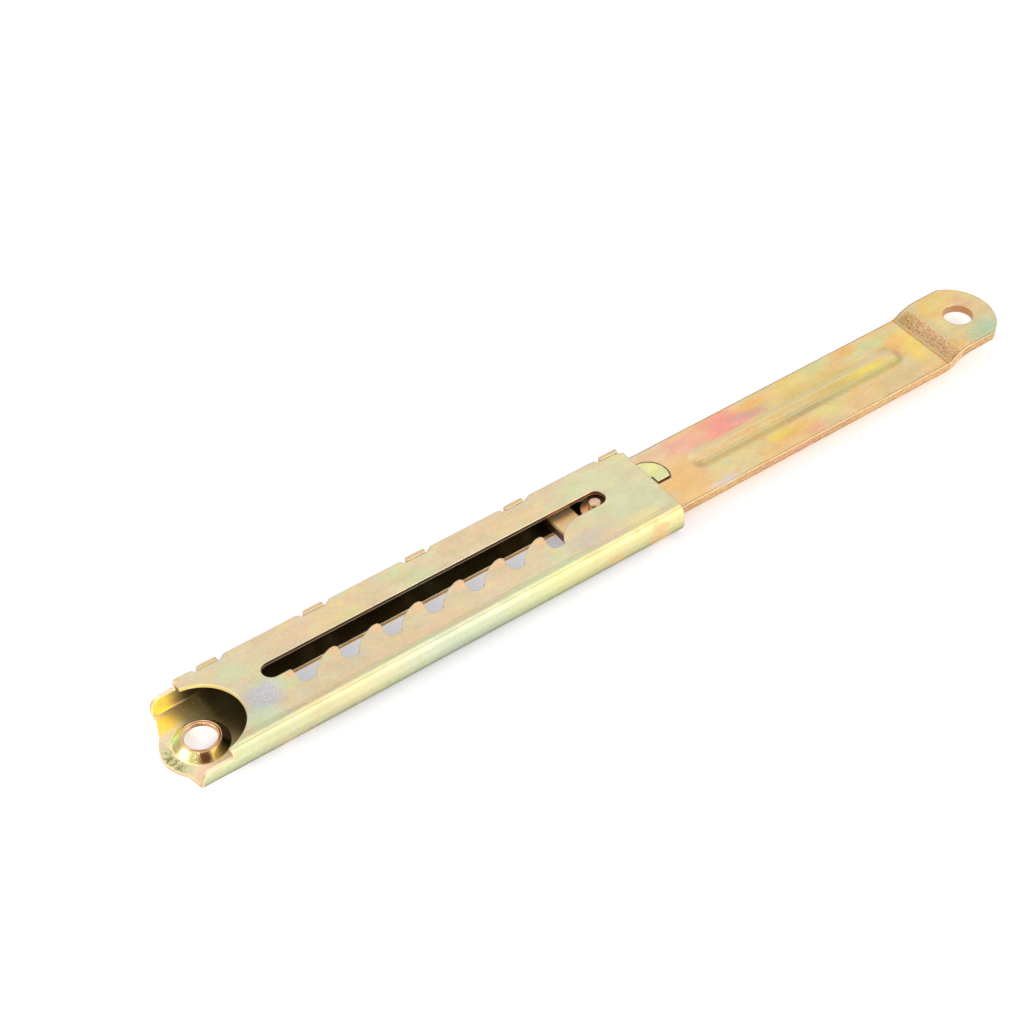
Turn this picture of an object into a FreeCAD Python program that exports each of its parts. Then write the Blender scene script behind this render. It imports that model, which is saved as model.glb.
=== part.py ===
import FreeCAD, Part
import math
import os

import Sketcher
from FreeCAD import Vector

# Sliding ratchet stay, in millimetres. The origin is the axis of the casing's eyelet at the underside
# of the bottom plate, +X points to the hole in the arm, +Y to the casing's tabbed wall and +Z up.
# The arm is drawn out to its full reach.

DRIVING_SIZES = {
    # casing: one sheet folded round into a flat channel
    "sheet_thickness": 1.2,
    "casing_width": 29.0,
    "casing_height": 9.0,
    "centre_line": 1.0,
    "bend_radius": 3.2,
    "tab_bend_radius": 1.7,
    "mouth_end": 139.8,
    "roof_start": 1.6,
    "roof_edge_inset": 0.3,
    "roof_cutout_radius": 11.8,
    "seam_gap": 0.1,
    "lip_height": 6.2,
    "lip_corner_radius": 3.0,
    "heel_radius": 10.6,
    "heel_fold_end": 7.3,
    "heel_tab_end": 5.4,
    "heel_tab_corner": 13.0,
    "heel_arc_fold_angle": 221.0,
    "heel_arc_tab_angle": 138.0,
    "heel_trim": 2.0,
    "mouth_corner_cut": 2.2,
    "roof_corner_length": 2.3,
    "roof_corner_depth": 1.0,
    # eyelet drawn up out of the bottom plate
    "bore_radius": 4.25,
    "rim_radius": 5.2,
    "rim_height": 3.2,
    "cone_foot_radius": 7.45,
    "cone_mouth_radius": 6.4,
    "bore_wall_start": 2.1,
    # toothed slot through the bottom plate and the roof
    "slot_straight_edge": 6.3,
    "slot_left_end": 20.4,
    "slot_right_end": 126.1,
    "slot_lower_edge": 0.8,
    "slot_parking_edge": 0.95,
    "slot_corner_radius": 0.5,
    "tooth_count": 7,
    "tooth_pitch": 12.7,
    "tooth_tip": 0.85,
    "tooth_nose_radius": 0.9,
    "tooth_nose_setback": 0.4,
    "tooth_nose_end_angle": -10.0,
    "pocket_wall": 27.0,
    "pocket_floor": -5.0,
    "pocket_corner_radius": 1.75,
    "pocket_floor_end": 3.3,
    "ramp_foot_radius": 0.8,
    "ramp_middle_place": 7.6,
    "ramp_middle_height": -0.85,
    "ramp_end": 11.4,
    "last_ramp_middle_place": 7.1,
    "last_ramp_middle_height": -0.75,
    "last_ramp_end": 12.0,
    # locking tabs on the wall, in notches of the roof's edge
    "tab_count": 5,
    "tab_pitch": 31.2,
    "notch_start": 7.2,
    "notch_length": 8.2,
    "notch_floor": 14.1,
    "notch_shoulder": 0.55,
    "notch_flare": 0.8,
    "relief_width": 1.25,
    "relief_floor": 6.0,
    "tab_top": 9.1,
    # arm
    "arm_thickness": 2.5,
    "arm_width": 23.5,
    "arm_underside": 3.8,
    "arm_inner_end": 110.0,
    "hole_distance": 250.0,
    "end_arc_radius": 13.0,
    "end_arc_setback": 2.9,
    "joggle_start": 235.6,
    "joggle_length": 9.0,
    "joggle_rise": 2.9,
    "joggle_lower_radius": 4.0,
    "rib_start": 153.0,
    "rib_end": 228.5,
    "rib_foot_width": 7.8,
    "rib_crown_width": 2.6,
    "rib_height": 0.6,
    "rib_blend_radius": 5.0,
    "rib_groove_inset": 0.8,
    # pawl and its window in the arm
    "pivot_place": 141.1,
    "pivot_offset": 3.7,
    "head_radius": 5.8,
    "socket_radius": 6.15,
    "head_flat": 0.95,
    "shoulder_place": 142.2,
    "shoulder_top": 3.4,
    "tongue_place": 141.8,
    "tongue_top": 2.95,
    "window_start": 117.6,
    "window_top": 10.0,
    "window_floor": -8.3,
    "window_floor_end": 126.0,
    "nose_radius": 3.9,
    # pin and spring
    "pin_place": 122.7,
    "pin_offset": 3.0,
    "pin_radius": 1.65,
    "pin_foot": 0.2,
    "pin_top": 8.55,
    "pin_chamfer": 0.25,
    "spring_place": 127.5,
    "spring_radius": 14.5,
    "spring_thickness": 0.4,
    "spring_strip_width": 2.0,
    "spring_end_gap": 0.2,
    "spring_pawl_gap": 0.15,
}

document = FreeCAD.newDocument("ratchet_stay")
sheet = document.addObject("Spreadsheet::Sheet", "Sizes")
for row, (alias, value) in enumerate(DRIVING_SIZES.items(), start=1):
    sheet.set(f"A{row}", alias)
    sheet.set(f"B{row}", str(value))
    sheet.setAlias(f"B{row}", alias)
document.recompute()


def size(alias):
    """A driving size, read back from the sheet."""
    return float(sheet.get(alias))


# Sizes worked out from the driving ones
half_casing = size("casing_width") / 2
fold_side = size("centre_line") - half_casing
tab_side = size("centre_line") + half_casing
half_arm = size("arm_width") / 2
arm_low_side = size("centre_line") - half_arm
arm_high_side = size("centre_line") + half_arm
BEYOND = 20.0          # how far a wide cut runs past the piece
MARGIN = 1.0           # how far a narrow cut runs past the edge it opens
TOLERANCE = 0.01


# ---- helpers ------------------------------------------------------------------------------------

def new_body(name):
    body = document.addObject("PartDesign::Body", name)
    body.Label = name
    return body


def new_sketch(body, name, plane, level=None):
    """An empty sketch on one of the body's own origin planes, raised by the sheet's `level`."""
    sketch = body.newObject("Sketcher::SketchObject", name)
    support = next(item for item in body.Origin.OriginFeatures if item.Role == plane)
    sketch.AttachmentSupport = [(support, "")]
    sketch.MapMode = "FlatFace"
    if level is not None:
        sketch.setExpression("AttachmentOffset.Base.z", level)
    return sketch


def draw_outline(sketch, start, steps):
    """Draw a closed outline. A step is an end point, or a point on an arc and the arc's end point."""
    here = Vector(*start, 0)
    for step in steps:
        points = [Vector(*point, 0) for point in step]
        if len(points) == 1:
            sketch.addGeometry(Part.LineSegment(here, points[0]), False)
        else:
            sketch.addGeometry(Part.Arc(here, points[0], points[1]), False)
        here = points[-1]
    if here.distanceToPoint(Vector(*start, 0)) > 1e-9:
        sketch.addGeometry(Part.LineSegment(here, Vector(*start, 0)), False)


def draw_circle(sketch, centre, radius):
    """A circle held by its radius and centre, each an expression on the sheet.

    The numbers it is first drawn with are placeholders, which the expressions replace.
    """
    sketch.addGeometry(Part.Circle(Vector(1, 1, 0), Vector(0, 0, 1), 1), False)
    radius_rule = sketch.addConstraint(Sketcher.Constraint("Radius", 0, 1.0))
    across_rule = sketch.addConstraint(Sketcher.Constraint("DistanceX", -1, 1, 0, 3, 1.0))
    along_rule = sketch.addConstraint(Sketcher.Constraint("DistanceY", -1, 1, 0, 3, 1.0))
    sketch.setExpression(f"Constraints[{radius_rule}]", radius)
    sketch.setExpression(f"Constraints[{across_rule}]", centre[0])
    sketch.setExpression(f"Constraints[{along_rule}]", centre[1])


def draw_rectangle(sketch, low, high):
    draw_outline(sketch, low, [[(high[0], low[1])], [high], [(low[0], high[1])]])


def pad(body, sketch, length, midplane=False):
    feature = body.newObject("PartDesign::Pad", sketch.Name + "_pad")
    feature.Profile = sketch
    feature.setExpression("Length", length)
    feature.Midplane = midplane
    document.recompute()
    return feature


def cut_through(body, sketch, upwards=False):
    """Cut the sketch's outline out of the body: right through it, or only above the sketch."""
    before = body.Shape.Volume
    feature = body.newObject("PartDesign::Pocket", sketch.Name + "_cut")
    feature.Profile = sketch
    feature.Type = "ThroughAll"
    feature.Midplane = not upwards
    feature.Reversed = upwards
    document.recompute()
    if body.Shape.Volume > before - TOLERANCE:
        raise RuntimeError(f"{feature.Name} cuts nothing")
    return feature


def revolve(body, sketch):
    feature = body.newObject("PartDesign::Revolution", sketch.Name + "_turned")
    feature.Profile = sketch
    feature.ReferenceAxis = (sketch, ["V_Axis"])
    feature.Angle = 360
    document.recompute()
    return feature


def on_circle(centre, radius, degrees):
    angle = math.radians(degrees)
    return (centre[0] + radius * math.cos(angle), centre[1] + radius * math.sin(angle))


def arc(centre, radius, start, end):
    """A step of an outline that runs round a circle from one angle, in degrees, to another."""
    return [on_circle(centre, radius, (start + end) / 2), on_circle(centre, radius, end)]


# ---- casing -------------------------------------------------------------------------------------

def draw_casing_section(sketch):
    """The folded sheet seen along X: roof, fold wall, bottom plate and tabbed wall."""
    thickness = size("sheet_thickness")
    height = size("casing_height")
    fold = size("bend_radius")
    tab = size("tab_bend_radius")
    roof_edge = tab_side - size("roof_edge_inset")
    wall_top = height - thickness - size("seam_gap")
    fold_low = (fold_side + fold, fold)
    fold_high = (fold_side + fold, height - fold)
    tab_low = (tab_side - tab, tab)
    draw_outline(sketch, (roof_edge, height), [
        [(fold_high[0], height)],
        arc(fold_high, fold, 90, 180),
        [(fold_side, fold_low[1])],
        arc(fold_low, fold, 180, 270),
        [(tab_low[0], 0)],
        arc(tab_low, tab, 270, 360),
        [(tab_side, wall_top)],
        [(tab_side - thickness, wall_top)],
        [(tab_side - thickness, tab_low[1])],
        arc(tab_low, tab - thickness, 360, 270),
        [(fold_low[0], thickness)],
        arc(fold_low, fold - thickness, 270, 180),
        [(fold_side + thickness, fold_high[1])],
        arc(fold_high, fold - thickness, 180, 90),
        [(roof_edge, height - thickness)],
    ])


def draw_heel(sketch):
    """What is cut from the sheet at the heel: the bottom plate ends in an arc round the eyelet."""
    radius = size("heel_radius")
    far = -radius - BEYOND
    fold_angle = size("heel_arc_fold_angle")
    fold_corner = (-size("heel_fold_end"), fold_side + size("bend_radius"))
    tab_corner = (-size("heel_tab_end"), size("heel_tab_corner"))
    draw_outline(sketch, (far, fold_side - BEYOND), [
        [(fold_corner[0], fold_side - BEYOND)],
        [fold_corner],
        [on_circle((0, 0), radius, fold_angle)],
        arc((0, 0), radius, fold_angle, size("heel_arc_tab_angle")),
        [tab_corner],
        [(tab_corner[0], tab_side + BEYOND)],
        [(far, tab_side + BEYOND)],
    ])


def draw_eyelet(sketch):
    """Half the section of the drawn eyelet, in radius and height."""
    draw_outline(sketch, (size("bore_radius"), size("bore_wall_start")), [
        [(size("bore_radius"), size("rim_height"))],
        [(size("rim_radius"), size("rim_height"))],
        [(size("cone_foot_radius"), size("sheet_thickness"))],
        [(size("cone_foot_radius"), 0)],
        [(size("cone_mouth_radius"), 0)],
    ])


def pocket_steps(wall, ramp_middle, ramp_end):
    """One locking pocket, from its upright wall to the crest of the ramp that follows it."""
    floor = size("pocket_floor")
    corner = size("pocket_corner_radius")
    foot = size("ramp_foot_radius")
    floor_end = wall + size("pocket_floor_end")
    return [
        [(wall, floor + corner)],
        arc((wall + corner, floor + corner), corner, 180, 270),
        [(floor_end, floor)],
        arc((floor_end, floor + foot), foot, -90, 0),
        [(wall + ramp_middle[0], ramp_middle[1]), (wall + ramp_end[0], ramp_end[1])],
    ]


def draw_slot(sketch):
    """The slot that the ratchet pin runs in: one straight edge and one edge with locking pockets."""
    straight = size("slot_straight_edge")
    lower = size("slot_lower_edge")
    parking = size("slot_parking_edge")
    left_radius = (straight - lower) / 2
    right_radius = (straight - parking) / 2
    left_centre = (size("slot_left_end") + left_radius, straight - left_radius)
    right_centre = (size("slot_right_end") - right_radius, straight - right_radius)
    corner = size("slot_corner_radius")
    nose = size("tooth_nose_radius")
    tip = size("tooth_tip")
    ramp_middle = (size("ramp_middle_place"), size("ramp_middle_height"))
    last_middle = (size("last_ramp_middle_place"), size("last_ramp_middle_height"))
    wall = size("pocket_wall")
    steps = [
        arc(left_centre, left_radius, 90, 270),
        [(wall - corner, lower)],
        arc((wall - corner, lower - corner), corner, 90, 0),
    ]
    for _ in range(int(size("tooth_count")) - 1):
        steps += pocket_steps(wall, ramp_middle, (size("ramp_end"), tip))
        wall += size("tooth_pitch")
        nose_centre = (wall - size("tooth_nose_setback"), tip - nose)
        steps.append([(nose_centre[0], tip)])
        steps.append(arc(nose_centre, nose, 90, size("tooth_nose_end_angle")))
    steps += pocket_steps(wall, last_middle, (size("last_ramp_end"), parking))
    steps.append([(right_centre[0], parking)])
    steps.append(arc(right_centre, right_radius, -90, 90))
    draw_outline(sketch, on_circle(left_centre, left_radius, 90), steps)


def draw_notch(sketch):
    """The notch in the roof's edge that one locking tab stands in, flared towards the edge."""
    start = size("notch_start")
    end = start + size("notch_length")
    floor = size("notch_floor")
    flare = size("notch_flare")
    shoulder = floor + size("notch_shoulder")
    roof_edge = tab_side - size("roof_edge_inset")
    draw_outline(sketch, (start, floor), [
        [(end, floor)],
        [(end, shoulder)],
        [(end + flare, roof_edge)],
        [(end + flare, tab_side + MARGIN)],
        [(start - flare, tab_side + MARGIN)],
        [(start - flare, roof_edge)],
        [(start, shoulder)],
    ])


def edges_where(shape, test):
    return [f"Edge{index}" for index, edge in enumerate(shape.Edges, start=1) if test(edge)]


def fillet(body, name, test, radius):
    """Round the tip's edges that pass the test, with a radius from the sheet."""
    base = body.Tip
    edges = edges_where(base.Shape, test)
    rounding = body.newObject("PartDesign::Fillet", name)
    rounding.Base = (base, edges)
    rounding.setExpression("Radius", radius)
    document.recompute()
    return rounding


def is_rib_edge(edge):
    """An edge of the rib's crown, or of its foot on the bar's top face."""
    box = edge.BoundBox
    top = size("arm_underside") + size("arm_thickness")
    level = abs(box.ZMax - top) < TOLERANCE or abs(box.ZMax - top - size("rib_height")) < TOLERANCE
    within = box.XMin > size("rib_start") - TOLERANCE and box.XMax < size("rib_end") + TOLERANCE
    return level and box.ZLength < TOLERANCE and within


def is_lip_corner(edge):
    """The top corner of a wall at the heel: a short edge along Y at the height of the lip."""
    box = edge.BoundBox
    along_y = box.XLength < TOLERANCE and box.ZLength < TOLERANCE
    at_heel = box.XMax < -size("heel_tab_end") + TOLERANCE
    return along_y and at_heel and abs(box.ZMax - size("lip_height")) < TOLERANCE


def make_casing():
    body = new_body("casing")

    # The folded sheet starts a little too long and is trimmed to the heel's outline
    section = new_sketch(body, "casing_section", "YZ_Plane", "-Sizes.heel_radius - Sizes.heel_trim")
    draw_casing_section(section)
    pad(body, section, "Sizes.mouth_end + Sizes.heel_radius + Sizes.heel_trim")

    heel = new_sketch(body, "heel_outline", "XY_Plane")
    draw_heel(heel)
    cut_through(body, heel)

    # The roof starts behind the eyelet, and the walls in front of it end in a low lip
    lip = new_sketch(body, "lip_step", "XZ_Plane")
    draw_rectangle(lip, (-BEYOND, size("lip_height")), (size("roof_start"), BEYOND))
    cut_through(body, lip)
    fillet(body, "lip_corners", is_lip_corner, "Sizes.lip_corner_radius")

    cutout = new_sketch(body, "roof_cutout", "XY_Plane", "Sizes.lip_height")
    draw_circle(cutout, ("0", "0"), "Sizes.roof_cutout_radius")
    cut_through(body, cutout, upwards=True)

    # Drawn eyelet: the plate is opened, then the cone is turned up from the edge of the opening
    opening = new_sketch(body, "eyelet_opening", "XY_Plane")
    draw_circle(opening, ("0", "0"), "(Sizes.cone_foot_radius + Sizes.cone_mouth_radius) / 2")
    cut_through(body, opening)
    eyelet = new_sketch(body, "eyelet", "XZ_Plane")
    draw_eyelet(eyelet)
    revolve(body, eyelet)

    slot = new_sketch(body, "toothed_slot", "XY_Plane")
    draw_slot(slot)
    cut_through(body, slot)

    # One notch, its relief slots in the wall and its tab, repeated along the edge
    notch = new_sketch(body, "roof_notch", "XY_Plane",
                       "Sizes.casing_height - Sizes.sheet_thickness - Sizes.seam_gap / 2")
    draw_notch(notch)
    notch_cut = cut_through(body, notch, upwards=True)
    relief = new_sketch(body, "tab_relief", "XY_Plane", "Sizes.relief_floor")
    notch_end = size("notch_start") + size("notch_length")
    wall_face = tab_side - size("sheet_thickness")
    relief_corner = (size("notch_start"), wall_face - size("seam_gap"))
    draw_rectangle(relief, relief_corner, (notch_end, tab_side + MARGIN))
    relief_cut = cut_through(body, relief, upwards=True)
    tab = new_sketch(body, "tab", "XY_Plane", "Sizes.relief_floor")
    tab_start = size("notch_start") + size("relief_width")
    draw_rectangle(tab, (tab_start, wall_face), (notch_end - size("relief_width"), tab_side))
    tab_pad = pad(body, tab, "Sizes.tab_top - Sizes.relief_floor")
    row = body.newObject("PartDesign::LinearPattern", "tab_row")
    row.Originals = [notch_cut, relief_cut, tab_pad]
    row.Direction = (notch, ["H_Axis"])
    row.setExpression("Length", "Sizes.tab_pitch * (Sizes.tab_count - 1)")
    row.setExpression("Occurrences", "Sizes.tab_count")
    body.Tip = row
    document.recompute()

    # The mouth: the sheet's lower corners are rounded off, and the roof's corner at the last tab is cut
    mouth = new_sketch(body, "mouth_corner", "XZ_Plane")
    end = size("mouth_end")
    cut = size("mouth_corner_cut")
    draw_outline(mouth, (end - cut, -MARGIN), [
        [(end + MARGIN, -MARGIN)],
        [(end + MARGIN, cut)],
        [(end, cut)],
        arc((end - cut, cut), cut, 0, -90),
    ])
    cut_through(body, mouth)
    corner = new_sketch(body, "roof_corner", "XY_Plane", "Sizes.lip_height")
    corner_start = end - size("roof_corner_length")
    corner_side = size("notch_floor") + size("seam_gap")
    corner_foot = size("notch_floor") - size("roof_corner_depth")
    draw_outline(corner, (corner_start, corner_side), [
        [(corner_start, size("notch_floor"))],
        [(end, corner_foot)],
        [(end + MARGIN, corner_foot)],
        [(end + MARGIN, corner_side)],
    ])
    cut_through(body, corner, upwards=True)
    return body


# ---- arm ----------------------------------------------------------------------------------------

def draw_arm_side(sketch):
    """The bar seen from the side: flat, then an S-bend, tight and then easy, up to the raised end."""
    low = size("arm_underside")
    thick = size("arm_thickness")
    rise = size("joggle_rise")
    start = size("joggle_start")
    end = start + size("joggle_length")
    bend_angle = 2 * math.atan(rise / size("joggle_length"))
    lower_radius = size("joggle_lower_radius")
    upper_radius = size("joggle_length") / math.sin(bend_angle) - lower_radius
    half_thick = thick / 2
    mid_height = low + half_thick
    rising = (start, mid_height + lower_radius)
    levelling = (end, mid_height + rise - upper_radius)
    turn = math.degrees(bend_angle)
    tip = size("hole_distance") - size("end_arc_setback") + size("end_arc_radius")
    draw_outline(sketch, (size("arm_inner_end"), low), [
        [(start, low)],
        arc(rising, lower_radius + half_thick, 270, 270 + turn),
        arc(levelling, upper_radius - half_thick, 90 + turn, 90),
        [(tip + MARGIN, low + rise)],
        [(tip + MARGIN, low + rise + thick)],
        [(end, low + rise + thick)],
        arc(levelling, upper_radius + half_thick, 90, 90 + turn),
        arc(rising, lower_radius - half_thick, 270 + turn, 270),
        [(size("arm_inner_end"), low + thick)],
    ])


def draw_arm_end(sketch):
    """What is cut from the bar's end to leave it round."""
    centre = (size("hole_distance") - size("end_arc_setback"), size("centre_line"))
    radius = size("end_arc_radius")
    start = centre[0] + math.sqrt(radius ** 2 - half_arm ** 2)
    beyond = centre[0] + radius + BEYOND
    draw_outline(sketch, (start, arm_high_side), [
        [(start, arm_high_side + BEYOND)],
        [(beyond, arm_high_side + BEYOND)],
        [(beyond, arm_low_side - BEYOND)],
        [(start, arm_low_side - BEYOND)],
        [(start, arm_low_side)],
        [(centre[0] + radius, centre[1]), (start, arm_high_side)],
    ])


def draw_window(sketch):
    """The pawl's window: a round socket for its head, a tongue below it and room for the lever."""
    pivot = (size("pivot_place"), size("pivot_offset"))
    radius = size("socket_radius")
    socket_start = -math.degrees(math.asin(pivot[1] / radius))
    draw_outline(sketch, (size("window_start"), size("window_top")), [
        [(size("window_start"), size("window_floor"))],
        [(size("window_floor_end"), size("window_floor"))],
        [(size("tongue_place"), size("tongue_top"))],
        [(size("tongue_place"), 0)],
        [on_circle(pivot, radius, socket_start)],
        arc(pivot, radius, socket_start, 90),
    ])


def draw_rib(sketch, width):
    """A stadium along the bar's middle."""
    radius = width / 2
    middle = size("centre_line")
    inset = size("rib_foot_width") / 2
    start = size("rib_start") + inset
    end = size("rib_end") - inset
    draw_outline(sketch, (start, middle - radius), [
        [(end, middle - radius)],
        arc((end, middle), radius, -90, 90),
        [(start, middle + radius)],
        arc((start, middle), radius, 90, 270),
    ])


def add_rib(body, name, kind, foot_level, crown_level, foot_width, crown_width):
    foot = new_sketch(body, name + "_foot", "XY_Plane", foot_level)
    draw_rib(foot, foot_width)
    crown = new_sketch(body, name + "_crown", "XY_Plane", crown_level)
    draw_rib(crown, crown_width)
    loft = body.newObject(kind, name)
    loft.Profile = foot
    loft.Sections = [crown]
    document.recompute()
    return loft


def make_arm():
    body = new_body("arm")
    side = new_sketch(body, "arm_side", "XZ_Plane", "-Sizes.centre_line")
    draw_arm_side(side)
    pad(body, side, "Sizes.arm_width", midplane=True)

    end = new_sketch(body, "arm_end", "XY_Plane")
    draw_arm_end(end)
    cut_through(body, end)
    hole = new_sketch(body, "arm_hole", "XY_Plane")
    draw_circle(hole, ("Sizes.hole_distance", "Sizes.centre_line"), "Sizes.bore_radius")
    cut_through(body, hole)
    window = new_sketch(body, "pawl_window", "XY_Plane")
    draw_window(window)
    cut_through(body, window)

    # The rib is pressed up from below, so a groove of the same depth runs under it
    foot = size("rib_foot_width")
    crown = size("rib_crown_width")
    inset = 2 * size("rib_groove_inset")
    add_rib(body, "rib", "PartDesign::AdditiveLoft", "Sizes.arm_underside + Sizes.arm_thickness",
            "Sizes.arm_underside + Sizes.arm_thickness + Sizes.rib_height", foot, crown)
    fillet(body, "rib_blend", is_rib_edge, "Sizes.rib_blend_radius")
    add_rib(body, "rib_groove", "PartDesign::SubtractiveLoft", "Sizes.arm_underside",
            "Sizes.arm_underside + Sizes.rib_height", foot - inset, crown - inset)
    return body


# ---- pawl, pin and spring -----------------------------------------------------------------------

def lever_back():
    """The lever's straight back, which touches the nose's circle and the head's: its angle in degrees."""
    along = size("pivot_place") - size("pin_place")
    across = size("pivot_offset") - size("pin_offset")
    widening = math.asin((size("head_radius") - size("nose_radius")) / math.hypot(along, across))
    return math.degrees(math.atan2(across, along) + widening)


def draw_pawl(sketch):
    """Round nose, straight back, round head with a flat below it, and a shoulder facing the arm's tongue."""
    nose = (size("pin_place"), size("pin_offset"))
    pivot = (size("pivot_place"), size("pivot_offset"))
    back = 90 + lever_back()
    nose_radius = size("nose_radius")
    head = size("head_radius")
    flat_angle = -math.degrees(math.asin((pivot[1] - size("head_flat")) / head))
    shoulder = (size("shoulder_place"), size("shoulder_top"))
    reach = math.hypot(shoulder[0] - nose[0], shoulder[1] - nose[1])
    belly = math.degrees(math.atan2(shoulder[1] - nose[1], shoulder[0] - nose[0])
                         - math.acos(nose_radius / reach))
    draw_outline(sketch, on_circle(nose, nose_radius, back), [
        arc(nose, nose_radius, back, 360 + belly),
        [shoulder],
        [(shoulder[0], size("head_flat"))],
        [on_circle(pivot, head, flat_angle)],
        arc(pivot, head, flat_angle, back),
    ])


def make_pawl():
    body = new_body("pawl")
    outline = new_sketch(body, "pawl_outline", "XY_Plane", "Sizes.arm_underside")
    draw_pawl(outline)
    pad(body, outline, "Sizes.arm_thickness")
    hole = new_sketch(body, "pin_hole", "XY_Plane")
    draw_circle(hole, ("Sizes.pin_place", "Sizes.pin_offset"), "Sizes.pin_radius")
    cut_through(body, hole)
    return body


def make_pin():
    """A plain turned pin, chamfered at both ends, standing in the pawl's nose."""
    body = new_body("ratchet_pin")
    section = new_sketch(body, "pin_section", "XZ_Plane")
    radius = size("pin_radius")
    chamfer = size("pin_chamfer")
    draw_outline(section, (0, size("pin_foot")), [
        [(radius - chamfer, size("pin_foot"))],
        [(radius, size("pin_foot") + chamfer)],
        [(radius, size("pin_top") - chamfer)],
        [(radius - chamfer, size("pin_top"))],
        [(0, size("pin_top"))],
    ])
    revolve(body, section)
    body.setExpression("Placement.Base.x", "Sizes.pin_place")
    body.setExpression("Placement.Base.y", "Sizes.pin_offset")
    return body


def make_spring():
    """A bowed strip: its ends bear on the window's edge and its belly on the lever's back."""
    body = new_body("pawl_spring")
    tilt = math.radians(lever_back())
    outer = size("spring_radius")
    inner = outer - size("spring_thickness")
    # Height of the bow's centre that leaves its belly just clear of the lever's back
    back_offset = (size("pin_offset") * math.cos(tilt) - size("pin_place") * math.sin(tilt)
                   + size("nose_radius"))
    centre_height = (back_offset + outer + size("spring_pawl_gap")
                     + size("spring_place") * math.sin(tilt)) / math.cos(tilt)
    centre = (size("spring_place"), centre_height)
    end_height = size("window_top") - size("spring_end_gap")
    spread = math.degrees(math.acos((centre_height - end_height) / inner))
    bow = new_sketch(body, "spring_bow", "XY_Plane",
                     "Sizes.arm_underside + (Sizes.arm_thickness - Sizes.spring_strip_width) / 2")
    draw_outline(bow, on_circle(centre, outer, 270 - spread), [
        arc(centre, outer, 270 - spread, 270 + spread),
        [on_circle(centre, inner, 270 + spread)],
        arc(centre, inner, 270 + spread, 270 - spread),
    ])
    pad(body, bow, "Sizes.spring_strip_width")
    return body


# ---- build, check and write ---------------------------------------------------------------------

pieces = [make_casing(), make_arm(), make_pawl(), make_pin(), make_spring()]
document.recompute()

for item in document.Objects:
    if "Invalid" in item.State or "Error" in item.State:
        raise RuntimeError(f"{item.Name} failed: {item.State}")
for piece in pieces:
    shape = piece.Shape
    if shape.isNull() or not shape.isValid() or len(shape.Solids) != 1:
        raise RuntimeError(f"{piece.Label} is not one valid solid")

os.makedirs("parts", exist_ok=True)
for piece in pieces:
    piece.Shape.exportStep(f"parts/{piece.Label}.step")
    box = piece.Shape.BoundBox
    print(f"{piece.Label}: {piece.Shape.Volume:.1f} mm3, x {box.XMin:.2f} to {box.XMax:.2f}, "
          f"y {box.YMin:.2f} to {box.YMax:.2f}, z {box.ZMin:.2f} to {box.ZMax:.2f}")
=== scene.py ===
import math
import random

import bpy
from mathutils import Matrix, Vector


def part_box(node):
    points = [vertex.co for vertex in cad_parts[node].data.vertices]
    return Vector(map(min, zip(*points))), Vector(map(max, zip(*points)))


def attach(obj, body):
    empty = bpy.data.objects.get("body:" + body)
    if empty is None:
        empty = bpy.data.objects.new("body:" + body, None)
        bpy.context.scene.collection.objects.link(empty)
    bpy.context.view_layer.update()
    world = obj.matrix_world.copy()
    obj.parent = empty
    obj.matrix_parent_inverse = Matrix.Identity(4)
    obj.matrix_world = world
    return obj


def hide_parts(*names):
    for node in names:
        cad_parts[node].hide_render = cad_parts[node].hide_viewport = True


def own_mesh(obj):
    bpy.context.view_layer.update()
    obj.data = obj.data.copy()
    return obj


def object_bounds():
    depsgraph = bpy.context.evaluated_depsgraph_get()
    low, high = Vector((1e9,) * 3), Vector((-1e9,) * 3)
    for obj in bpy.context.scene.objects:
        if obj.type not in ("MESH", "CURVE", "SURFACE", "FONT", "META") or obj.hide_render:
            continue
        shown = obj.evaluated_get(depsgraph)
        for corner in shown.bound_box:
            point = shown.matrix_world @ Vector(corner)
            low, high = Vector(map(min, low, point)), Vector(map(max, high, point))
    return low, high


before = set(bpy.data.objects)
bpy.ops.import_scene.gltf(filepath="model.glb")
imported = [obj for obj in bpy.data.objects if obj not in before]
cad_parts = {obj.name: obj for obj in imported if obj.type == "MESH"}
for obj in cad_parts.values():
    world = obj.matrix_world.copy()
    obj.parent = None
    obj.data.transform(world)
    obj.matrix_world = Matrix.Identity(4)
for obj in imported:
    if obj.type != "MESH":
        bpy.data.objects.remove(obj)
CAD_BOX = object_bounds()
MM = 0.001

# Places and sizes in the frame, in millimetres
ROOF = 9.0
SHEET = 1.2
BAR_TOP = 6.3
RAISED_TOP = 9.2
TOOTH_PITCH = 12.7
FIRST_TOOTH = 26.2
TOOTH_TIPS = 7
BORE_RADIUS = 4.25
EYELET = (0, 0)
ARM_BORE = (250, 1)
SLOT_SIDES = (-5.4, 6.6)
SLOT_ENDS = (20.0, 126.5)
RIB_ENDS = (154, 228)

# ---- shader helpers ------------------------------------------------------------------------------


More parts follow.
